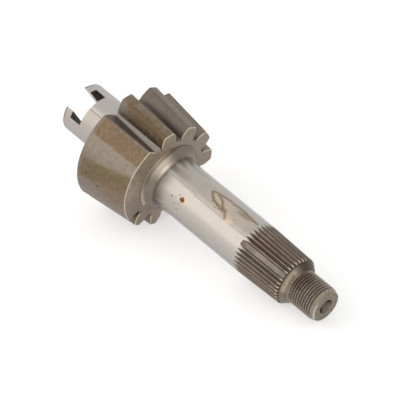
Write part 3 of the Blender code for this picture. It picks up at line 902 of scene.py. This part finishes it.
stain = steel.patch(-119, 116.5, 7, 3.2, 1.2, 0.8)
steel.coat(stain * 0.5, (0.60, 0.44, 0.30))
big_speck = steel.patch(-122, 126.5, 2.4, 0.8, 0.9)
few_specks = big_speck.either(steel.patches(SPECK_PLACES, 1.6, 0.6, 0.9))
steel.coat(few_specks * 0.75, (0.13, 0.095, 0.065))
rust = steel.patch(-115.7, 118.3, 4.8, 1.8, 2.8)
steel.coat(rust, (0.36, 0.16, 0.07))
steel.coat(steel.specks(0.9, 0.02) * 0.6, (0.16, 0.12, 0.09))
core = steel.patch(-115.7, 118.0, 1.8, 0.7, 0.6)
steel.coat(core, (0.12, 0.05, 0.02))
print("specks placed:", len(SPECK_PLACES) + 1)

# %% [markdown]
# ### Fillet and hub
#
# Behind the relief the steel was turned and not ground, so it is duller and browner, with
# rings left by the tool. On the lit side a highlight is painted in, with a brighter painted
# streak in the fillet's hollow and a painted bright line on the hub's rim, and the right
# side gets painted shade. The relief itself is darker.

# %% Fillet finish
HOLLOW_STATION = 141.6
LIT_ANGLE = -89

turned = station.ramp(JOURNAL_END - 0.8, JOURNAL_END - 0.1)
cloud = steel.noise(0.12, detail=4).ramp(0.3, 0.7)
# The turned steel's colour; the painted highlights and shade below are mixed into it.
turned_tone_and_light = steel.mix(cloud, (0.22, 0.185, 0.145), (0.27, 0.23, 0.18))
# Painted highlight on the lit side.
lit_side_highlight = (turn + (fray - 0.5) * 10).near(LIT_ANGLE, 36)
turned_tone_and_light = steel.mix(lit_side_highlight, turned_tone_and_light, (0.76, 0.66, 0.53))
rings = steel.noise(1.0, stretch=(0.02, 0.02, 3.5)).ramp(0.52, 0.38)
turned_tone_and_light = steel.mix(rings * 0.5, turned_tone_and_light, (0.24, 0.20, 0.155))
# Painted shade on the right side.
right_side_shade = turn.near(-30, 48).ramp(0, 0.7)
turned_tone_and_light = steel.mix(right_side_shade * 0.8, turned_tone_and_light, (0.180, 0.152, 0.120))
# Painted highlight along the hub's rim, on the lit side.
hub_rim_highlight = station.near(HUB_FACE + 0.15, 0.4) * turn.ramp(-60, -85)
turned_tone_and_light = steel.mix(hub_rim_highlight * 0.9, turned_tone_and_light, (0.62, 0.54, 0.44))
# Painted highlight: a bright streak in the fillet's hollow.
hollow_highlight = turn.near(LIT_ANGLE + 1, 18) * station.near(HOLLOW_STATION, 1.5)
turned_tone_and_light = steel.mix(hollow_highlight * 0.8, turned_tone_and_light, (0.95, 0.88, 0.76))
steel.coat(turned, turned_tone_and_light)
in_relief = station.near(JOURNAL_END - 0.45, 0.55)
steel.coat(in_relief * 0.7, (0.10, 0.08, 0.06))
journal_steel = steel.finished(steel.lines, 0.01, Metallic=0.92 - turned * 0.2,
                               Roughness=steel.rough + rust * 0.4)

# %% [markdown]
# ### Shape of the journal
#
# The profile is the barrel, the relief with a small bevel at each side, a quarter round
# of fillet and the hub with a broken corner. Two rows would do for the barrel, but it has
# one about every half a millimetre, because the painted line needs points to lie on.

# %% Long journal
RELIEF_WIDTH = 0.9
RELIEF_DEPTH = 0.25
RELIEF_BEVEL = 0.22
HUB_FILLET = 5.3
HUB_RADIUS = 24.6
HUB_CORNER = 0.15
HUB_END = SECTOR_FRONT + 1
HIDDEN_RADIUS = 12.0
FILLET_ROWS = 17
BARREL_STEP = 0.45
JOURNAL_POINTS = 256


def hollow(start, fillet, angles):
    """A quarter round from the journal: start + r sin a along, and r (1 - cos a) outwards."""
    outwards = JOURNAL_RADIUS + abs(fillet) * (1 - np.cos(angles))
    return np.stack([start + fillet * np.sin(angles), outwards], axis=-1)


quarter = np.linspace(0, math.pi / 2, FILLET_ROWS)
relief_start = JOURNAL_END - RELIEF_WIDTH
relief_radius = JOURNAL_RADIUS - RELIEF_DEPTH
relief_ends = (relief_start + RELIEF_BEVEL, JOURNAL_END - RELIEF_BEVEL)
relief = [(station, relief_radius) for station in relief_ends]
barrel_stations = along(SERRATION_END, (relief_start, BARREL_STEP))
barrel = [(station, JOURNAL_RADIUS) for station in barrel_stations]
hub = [(HUB_FACE, HUB_RADIUS - HUB_CORNER), (HUB_FACE + HUB_CORNER, HUB_RADIUS),
       (HUB_END, HUB_RADIUS), (HUB_END, HIDDEN_RADIUS)]
profile = np.concatenate([barrel, relief, hollow(JOURNAL_END, HUB_FILLET, quarter), hub])
stations, angles = np.broadcast_arrays(profile[:, :1], round_angles(JOURNAL_POINTS))
from_outline = from_lines(stations, angles, OIL_OUTLINE)
turned_skin("long_journal", profile, JOURNAL_POINTS, (SERRATION_END, HUB_END), journal_steel,
            oil_outline=np.minimum(from_outline, FAR_FROM_LINE))

# %% [markdown]
# ## Toothed sector
#
# The teeth are what is left between the gaps. A gap opens outwards along an involute and
# closes towards the back, and tips and roots lie on cones, so that moving the sector along
# its axis takes up play. Cutting gaps with Booleans would leave ragged edges. Here one
# section is a closed line of radius and angle, worked out for all stations at once.

# %% Gaps of the sector
TIP_RADIUS = 37.9
TIP_CONE_ANGLE = 6.5
TOOTH_DEPTH = 8.9
MIDDLE_PRESSURE_ANGLE = 23.8
BASE_RADIUS = (TIP_RADIUS - TOOTH_DEPTH / 2) * math.cos(math.radians(MIDDLE_PRESSURE_ANGLE))
FLOOR_HALF_ANGLES = (4.6, 1.6)
TIP_HALF_ANGLES = (10.3, 11.3)
BLANK_FACE_ANGLE = 3.0
GAP_ANGLES = (-80.0, -48.0, -16.0, 16.0, 48.0, 85.1, 122.2, 148.7, 175.2)


def tip_radius(station):
    """A cone that widens towards the back."""
    return TIP_RADIUS + (station - SECTOR_FRONT) * math.tan(math.radians(TIP_CONE_ANGLE))


def involute_turn(radius):
    """Degrees that an involute has turned: tan p - p, where cos p is base over radius."""
    pressure = np.arccos(np.minimum(BASE_RADIUS / radius, 1))
    return np.degrees(np.tan(pressure) - pressure)


def gap_half_angle(radius, station):
    """Half of the gap: an involute's turn, scaled to run from the floor's half to the tip's."""
    back = (station - SECTOR_FRONT) / (SECTOR_BACK - SECTOR_FRONT)
    floor_half, tip_half = [front + (rear - front) * back
                            for front, rear in (FLOOR_HALF_ANGLES, TIP_HALF_ANGLES)]
    at_tip = involute_turn(tip_radius(station))
    at_floor = involute_turn(tip_radius(station) - TOOTH_DEPTH)
    share = (involute_turn(radius) - at_floor) / (at_tip - at_floor)
    return floor_half + (tip_half - floor_half) * share


def blank_half_angle(radius, station):
    """The blank ends in a plain radial face, at one angle for every radius."""
    return BLANK_FACE_ANGLE + 0 * radius


front_half_angle = float(gap_half_angle(TIP_RADIUS, SECTOR_FRONT))
print("gap's half angle at the front tip:", round(front_half_angle, 2))

# %% [markdown]
# ### One section of the sector
#
# Down one side of a gap come the broken edge, the flank and the root fillet, and the
# other side mirrors it. At the broken front and back faces the outline is drawn back.

# %% Section of the sector
TIP_CHAMFER = 0.35
ROOT_FILLET = 0.7
FLANK_POINTS = 12
FILLET_POINTS = 4
LAND_STEP = 1.2


def gap_side(station, cut_back, half_angle):
    """Radius and half angle down one side of a gap: edge, flank, fillet, floor.

    The fillet is a quarter round, and the cut back widens the gap by its own arc.
    """
    tip = tip_radius(station) - cut_back
    root = tip - TOOTH_DEPTH
    down = np.linspace(0, 1, FLANK_POINTS)[None, :]
    flank = (tip - TIP_CHAMFER) + (root + ROOT_FILLET - tip + TIP_CHAMFER) * down
    edge = half_angle(tip, station) + np.degrees(TIP_CHAMFER / tip)
    bend = np.linspace(0, math.pi / 2, FILLET_POINTS + 1)[None, 1:]
    fillet = root + ROOT_FILLET * (1 - np.sin(bend))
    inwards = np.degrees(ROOT_FILLET * (1 - np.cos(bend)) / root)
    fillet_angle = half_angle(root, station) - inwards
    radius = np.concatenate([tip, flank, fillet], axis=1)
    angle = np.concatenate([edge, half_angle(flank, station), fillet_angle], axis=1)
    return radius, angle + np.degrees(cut_back / radius)


def sector_section(station, cut_back):
    """Round the sector: down and up every gap, then along the land after it."""
    radius, angle = [], []
    side, half = gap_side(station, cut_back, gap_half_angle)
    blank_side, blank_half = gap_side(station, cut_back, blank_half_angle)
    following_gaps = (*GAP_ANGLES[1:], GAP_ANGLES[0] + 360)
    for gap, following in zip(GAP_ANGLES, following_gaps):
        last = gap == GAP_ANGLES[-1]
        far_side, far_half = (blank_side, blank_half) if last else (side, half)
        share = np.linspace(0, 1, math.ceil((following - gap) / LAND_STEP) + 1)[None, 1:-1]
        start, end = gap + far_half[:, :1], following - half[:, :1]
        radius += [side, far_side[:, ::-1], side[:, :1] + 0 * share]
        angle += [gap - half, gap + far_half[:, ::-1], start + (end - start) * share]
    return np.concatenate(radius, axis=1), np.concatenate(angle, axis=1)


print("gaps:", len(GAP_ANGLES))

# %% [markdown]
# ### Its rows, faces and painted distances
#
# Rows run from the front to the back, close together where the faces are broken. Each
# flat face is a few rows between an inner circle and the outline. Two values are painted
# on: how far a point lies below the tip, and whether it belongs to a face.

# %% Rows of the sector
FACE_CHAMFER = 0.5
FACE_INNER_RADIUS = 15.0
FACE_ROWS = 8
CHAMFER_STEP = 0.17
TOOTH_STEP = 0.7


def face_rows(radius, angle, station):
    """Rows of a flat face: radii at even shares between the inner circle and the outline."""
    share = np.linspace(0, 1, FACE_ROWS + 1)[:-1, None]
    spread = FACE_INNER_RADIUS + (radius - FACE_INNER_RADIUS) * share
    return polar(spread, angle + 0 * share, station)


stations = along(SECTOR_FRONT, (SECTOR_FRONT + FACE_CHAMFER, CHAMFER_STEP),
                 (SECTOR_BACK - FACE_CHAMFER, TOOTH_STEP), (SECTOR_BACK, CHAMFER_STEP))[:, None]
from_face = np.minimum(stations - SECTOR_FRONT, SECTOR_BACK - stations)
radii, angles = sector_section(stations, np.maximum(FACE_CHAMFER - from_face, 0))
front_rows = face_rows(radii[:1], angles[:1], SECTOR_FRONT)
back_rows = face_rows(radii[-1:], angles[-1:], SECTOR_BACK)[::-1]
sector_rows = np.concatenate([front_rows, polar(radii, angles, stations), back_rows])
below_tip = tip_radius(stations) - radii
face_shape = (FACE_ROWS, radii.shape[1])
below_tip = np.concatenate([np.broadcast_to(below_tip[:1], face_shape), below_tip,
                            np.broadcast_to(below_tip[-1:], face_shape)])
on_face = np.ones((len(sector_rows), 1))
on_face[FACE_ROWS + 1:-FACE_ROWS - 1] = 0
print("deepest, mm:", round(float(below_tip.max()), 2))

# %% [markdown]
# ### Skin of the forging
#
# The sector wasn't ground all over. It is brown and mottled, and the blank's land, which
# rubbed on nothing, has bands of old oil: a brown one near the first gap, a leaning olive
# one, and ruddy stains with two small pits. The lean comes from adding some of the
# station to the angle. A paler patch on the land is a painted highlight. The front face is
# lighter, and darkest on the right and below.

# %% Sector skin
steel = Finish("oiled_forging", metallic=0.5, roughness=0.46)
turn, station = steel.turn, steel.station
deep, face_share = steel.painted("below_tip"), steel.painted("on_face")
cloud = steel.noise(0.10, detail=5).ramp(0.3, 0.7)
grain = steel.noise(0.9, detail=4)
mottle = steel.noise(0.4, detail=5, roughness=0.6)
tooth = 1 - face_share
land = deep.ramp(0.8, 0.3) * tooth
steel.colour = steel.mix(cloud, (0.235, 0.185, 0.145), (0.265, 0.215, 0.170))
# Painted highlight: a paler patch on the blank's land.
painted_highlight = steel.patch(-118, 168, 12, 30, 0.6, 0.8) * land
steel.coat(painted_highlight * 0.7, (0.34, 0.29, 0.235))
brown = steel.band((-109, -92.5), (140, 185), 0.8, 1.2) * land
steel.coat(brown * 0.9, (0.205, 0.132, 0.069))
leaning = turn + (station - 168) * 0.32 + (grain - 0.5) * 7
olive = leaning.near(-138, 15).ramp(0.05, 0.5) * station.ramp(186.5, 183.5) * land
steel.coat(olive * 0.9, (0.186, 0.132, 0.058))
ruddy = steel.patch(-149, 155, 10, 17, 0.9, 0.8).either(steel.patch(-93.5, 183, 3, 3, 0.9, 0.8))
steel.coat(ruddy * land * 0.55, (0.255, 0.150, 0.090))
pits = steel.patches([(-145.7, 179.9), (-152.7, 170.0)], 1.3, 0.8, 0.5)
steel.coat(pits, (0.06, 0.045, 0.03))
steel.coat(mottle.ramp(0.60, 0.30) * 0.35, (0.14, 0.106, 0.074))
steel.coat(mottle.ramp(0.50, 0.70) * 0.35, (0.33, 0.27, 0.21))
steel.coat(steel.specks(0.8, 0.03) * 0.5, (0.09, 0.065, 0.04))

face = steel.mix(mottle.ramp(0.3, 0.7), (0.370, 0.300, 0.222), (0.52, 0.43, 0.325))
face = steel.mix(turn.between(-75, -35, 40, 60) * 0.6, face, (0.295, 0.250, 0.192))
face = steel.mix(turn.math("ABSOLUTE").ramp(135, 165) * 0.6, face, (0.26, 0.215, 0.165))
front = face_share * station.ramp(160, 150)
steel.coat(front * 0.85, face)
print("skin of the forging laid, nodes so far:", len(steel.tree.nodes))

# %% [markdown]
# ### Flanks of the first teeth
#
# The first tooth's flank in the first gap carries most of the oil, thick and burnt in
# patches, darker towards its root, with a fresher grey end at the back. The flanks across
# from it get painted shade. Vertex colours would be too coarse on a flank, so each mask is
# a span of angles beside its gap, and the painted depth ends it at the edge and at the
# floor.

# %% Flanks
FIRST_GAP, SECOND_GAP = GAP_ANGLES[:2]
FIRST_TOOTH = (FIRST_GAP + SECOND_GAP) / 2

flank = deep.ramp(0.2, 0.8) * deep.ramp(TOOTH_DEPTH - 0.1, TOOTH_DEPTH - 0.7) * tooth


def shaded_flank(gap):
    """1 on the flank at the lower angles of a gap, which lies in the shade."""
    return flank * turn.between(gap - 12, gap - 9, gap - 4, gap)


oily_flank = flank * turn.between(FIRST_GAP, FIRST_GAP + 3, FIRST_TOOTH, FIRST_TOOTH + 4)
fresh = oily_flank * (station + (grain - 0.5) * 8).ramp(174, 181)
oily = oily_flank * steel.noise(0.20, detail=5).ramp(0.36, 0.54) * (1 - fresh)
steel.coat(fresh * 0.8, (0.20, 0.175, 0.14))
steel.coat(oily * 0.9, (0.185, 0.130, 0.065))
# Darker towards the root of the first gap.
near_root = (deep + (grain - 0.5) * 3).ramp(5.5, 7.5) * turn.ramp(FIRST_GAP + 2, FIRST_GAP + 4)
near_root = flank * turn.ramp(FIRST_TOOTH + 4, FIRST_TOOTH) * near_root * (1 - fresh * 0.7)
burnt = oily_flank * steel.noise(0.15, detail=5).ramp(0.5, 0.66) * station.ramp(168, 150)
steel.coat(near_root.either(burnt) * 0.8, (0.085, 0.055, 0.03))
steel.coat(shaded_flank(FIRST_GAP) * 0.75, (0.075, 0.058, 0.05))
second_flank = flank * turn.between(SECOND_GAP, SECOND_GAP + 3, SECOND_GAP + 15, SECOND_GAP + 20)
steel.coat(second_flank * 0.6, (0.125, 0.105, 0.095))
steel.coat(shaded_flank(SECOND_GAP) * 0.6, (0.08, 0.065, 0.055))
print("oily flank, degrees:", (FIRST_GAP, FIRST_TOOTH))

# %% [markdown]
# ### Floors, lands and edges
#
# The first gap's floor is pale and the second one's is dark. The first tooth's land is
# crusted with oil, with a darker seam along its edge. The front edges are worn bright and
# carry a painted highlight, and there they are more metallic. The broken tip edge by the
# first gap gets painted shade. Each mask joins a span of angles with a span of depth.

# %% Floors and lands
floor_of_gap = deep.ramp(TOOTH_DEPTH - 0.9, TOOTH_DEPTH - 0.3) * tooth
floor_of_gap = floor_of_gap * station.ramp(SECTOR_FRONT + 0.5, SECTOR_FRONT + 2.7)
pale_floor = floor_of_gap * turn.near(FIRST_GAP, 12).ramp(0, 0.4)
steel.coat(pale_floor * 0.75, (0.40, 0.36, 0.33))
dark_floor = floor_of_gap * turn.near(SECOND_GAP, 12)
steel.coat(dark_floor * 0.7, (0.08, 0.065, 0.055))
tooth_land = turn.between(FIRST_TOOTH - 8, FIRST_TOOTH - 5, FIRST_TOOTH + 6, FIRST_TOOTH + 9) * land
steel.coat(tooth_land * 0.7, (0.30, 0.228, 0.158))
crust = tooth_land * steel.noise(0.22, detail=5).ramp(0.40, 0.60)
steel.coat(crust * 0.8, (0.200, 0.147, 0.070))
frayed_turn = turn + (steel.noise(0.3, detail=4) - 0.5) * 12
seam = frayed_turn.near(FIRST_TOOTH - 5.5, 4.5).ramp(0, 0.6) * deep.ramp(5, 3) * tooth
steel.coat(seam * station.ramp(184, 181) * 0.85, (0.155, 0.100, 0.042))
last_gap = steel.patches([(176, 148), (-184, 148)], 9, 6, 0.9)
last_gap = last_gap * deep.ramp(1.0, 2.5) * deep.ramp(8.5, 6.5) * tooth
steel.coat(last_gap * mottle.ramp(0.3, 0.5), (0.15, 0.10, 0.052))
print("floors and lands laid, nodes so far:", len(steel.tree.nodes))

# %% Broken edges, and the sector itself
# Painted shade along the broken edge of the tips by the first gap.
tip_edge_shade = deep.near(TIP_CHAMFER - 0.05, 0.45) * turn.ramp(FIRST_GAP - 4, FIRST_GAP) * tooth
steel.coat(tip_edge_shade * 0.7, (0.12, 0.09, 0.07))
# Worn front edges, with a painted highlight on them.
worn_edge_and_highlight = station.near(SECTOR_FRONT + 0.3, 0.5) * deep.ramp(TOOTH_DEPTH - 0.1, 7.5)
worn_edge_and_highlight = worn_edge_and_highlight * tooth.ramp(0.0, 0.2) * grain.ramp(0.20, 0.52)
steel.coat(worn_edge_and_highlight * 0.85, (0.78, 0.68, 0.57))
back_edge = station.near(SECTOR_BACK, 0.8) * land
steel.coat(back_edge * 0.9, (0.06, 0.048, 0.04))
pitted = grain * 0.6 + steel.noise(0.25)
oiled_forging = steel.finished(pitted, 0.028, Metallic=worn_edge_and_highlight * 0.4 + 0.5,
                               Roughness=cloud * 0.12 + grain * 0.1 + 0.36)
closed_skin("toothed_sector", sector_rows, (SECTOR_FRONT, SECTOR_BACK), oiled_forging,
            below_tip=below_tip, on_face=on_face)

# %% [markdown]
# ## Rear journal
#
# A second ground journal, with a small fillet at the sector and a chamfer at the end. It
# is the same steel. Tones painted side by side round it stand for the studio it reflects
# and the shade beneath it; a dark line along it is a painted reflection, and a dark rim
# near the end is painted shade where the surface turns away. The T-slot is cut afterwards
# and could get its own material, but a mask of all that lies within the radius colours it
# as well, with painted shade, darkest up its walls.

# %% Rear journal finish
steel = ground_steel("rear_journal_steel")
turn, station = steel.turn, steel.station
from_axis = (steel.x * steel.x + steel.y * steel.y).math("SQRT")
inside = from_axis.ramp(JOURNAL_RADIUS - 0.1, JOURNAL_RADIUS - 0.4) * station.ramp(224.2, 223.7)
# Painted reflection: bands of tone laid by angle round the axis.
reflection_band_upper = turn.between(-98, -94, -55, -40)
steel.coat(reflection_band_upper * 0.5, (0.47, 0.42, 0.385))
reflection_band_lit = turn.between(-126, -118, -96, -92)
steel.coat(reflection_band_lit * 0.7, (0.34, 0.315, 0.28))
reflection_band_left = turn.ramp(-116, -124)
steel.coat(reflection_band_left * 0.5, (0.42, 0.365, 0.33))
# Painted shade beneath, and a band of it near the top.
beneath_shade = turn.ramp(-148, -172) + turn.between(-34, -20, 0, 10)
steel.coat(beneath_shade * 0.5, (0.25, 0.235, 0.215))
# Painted reflection: a dark line along the shaft.
reflected_dark_line = turn.near(-91.5, 2.2) * steel.noise(0.6).ramp(0.1, 0.4) * station.ramp(216, 213)
steel.coat(reflected_dark_line * 0.85, (0.13, 0.105, 0.09))
# Painted shade near the end, where the surface turns away from the light.
rim = station.near(SHAFT_END - 1.0, 1.0) * (1 - inside)
steel.coat(rim * 0.8, (0.10, 0.09, 0.085))
# Painted shade in the T-slot: lighter on its floor, darkest up its walls.
up_the_walls = station.ramp(SLOT_FLOOR_STATION + 0.1, SLOT_FLOOR_STATION + 2.5)
slot_shade = steel.mix(up_the_walls, (0.20, 0.175, 0.15), (0.045, 0.037, 0.031))
steel.coat(inside, slot_shade)
rear_steel = steel.finished(steel.lines, 0.01, Roughness=steel.rough + inside * 0.2)

# %% Rear journal
REAR_FILLET = 2.5
END_CHAMFER = 0.8
SEAT = 0.25
REAR_START = SECTOR_BACK - 1.5
END_RADII = (JOURNAL_RADIUS - END_CHAMFER, 14.0, 10.0, 6.0, 2.0)
REAR_POINTS = 192
REAR_STEP = 0.6

fillet_end = SECTOR_BACK - SEAT + REAR_FILLET
fillet = hollow(fillet_end, -REAR_FILLET, quarter[::-1])
hidden = [(REAR_START, HIDDEN_RADIUS), (REAR_START, JOURNAL_RADIUS + REAR_FILLET)]
barrel_stations = along(fillet_end, (SHAFT_END - END_CHAMFER, REAR_STEP))[1:]
barrel = [(station, JOURNAL_RADIUS) for station in barrel_stations]
end = [(SHAFT_END, radius) for radius in END_RADII]
profile = np.concatenate([hidden, fillet, barrel, end])
rear = turned_skin("rear_journal", profile, REAR_POINTS, (REAR_START, SHAFT_END), rear_steel)

# %% [markdown]
# ## T-slot
#
# The head of the adjusting screw slides into the T-slot across the end. The slot is the
# one shape here that isn't a skin round the axis. So a cutter of its own form is taken
# out of the journal with a Boolean, and the result is kept as the journal's mesh.

# %% T-slot
NECK_HALF = 8.2
HEAD_HALF = 12.4
LIP_UNDERSIDE = 223.9
LIP_BEVEL = 0.5
BEVEL_START = SHAFT_END - 0.3
CUTTER_END = SHAFT_END + 2
CUTTER_REACH = 20.0

flare = NECK_HALF + LIP_BEVEL
right = [(HEAD_HALF, SLOT_FLOOR_STATION), (HEAD_HALF, LIP_UNDERSIDE),
         (NECK_HALF, LIP_UNDERSIDE), (NECK_HALF, BEVEL_START),
         (flare, BEVEL_START + LIP_BEVEL), (flare, CUTTER_END)]
section = right + [(-x, s) for x, s in reversed(right)]
count = len(section)
points = np.array([(x, y, s) for y in (-CUTTER_REACH, CUTTER_REACH) for x, s in section])
sides = [(i, count + i, count + (i + 1) % count, (i + 1) % count) for i in range(count)]
faces = sides + [tuple(range(count)), tuple(range(count, 2 * count))[::-1]]
cutter_mesh = bpy.data.meshes.new("slot_cutter")
cutter_mesh.from_pydata(laid_down(points).tolist(), [], faces)
cutter = in_scene("slot_cutter", cutter_mesh)
cut = rear.modifiers.new("slot", "BOOLEAN")
cut.operation = "DIFFERENCE"
cut.solver = "EXACT"
cut.object = cutter
slotted = bpy.data.meshes.new_from_object(rear.evaluated_get(bpy.context.evaluated_depsgraph_get()))
rear.modifiers.clear()
rear.data = slotted
bpy.data.objects.remove(cutter)
slotted.set_sharp_from_angle(angle=math.radians(SHARP_EDGE_ANGLE))
print("rear_journal triangles:", sum(len(p.vertices) - 2 for p in slotted.polygons))
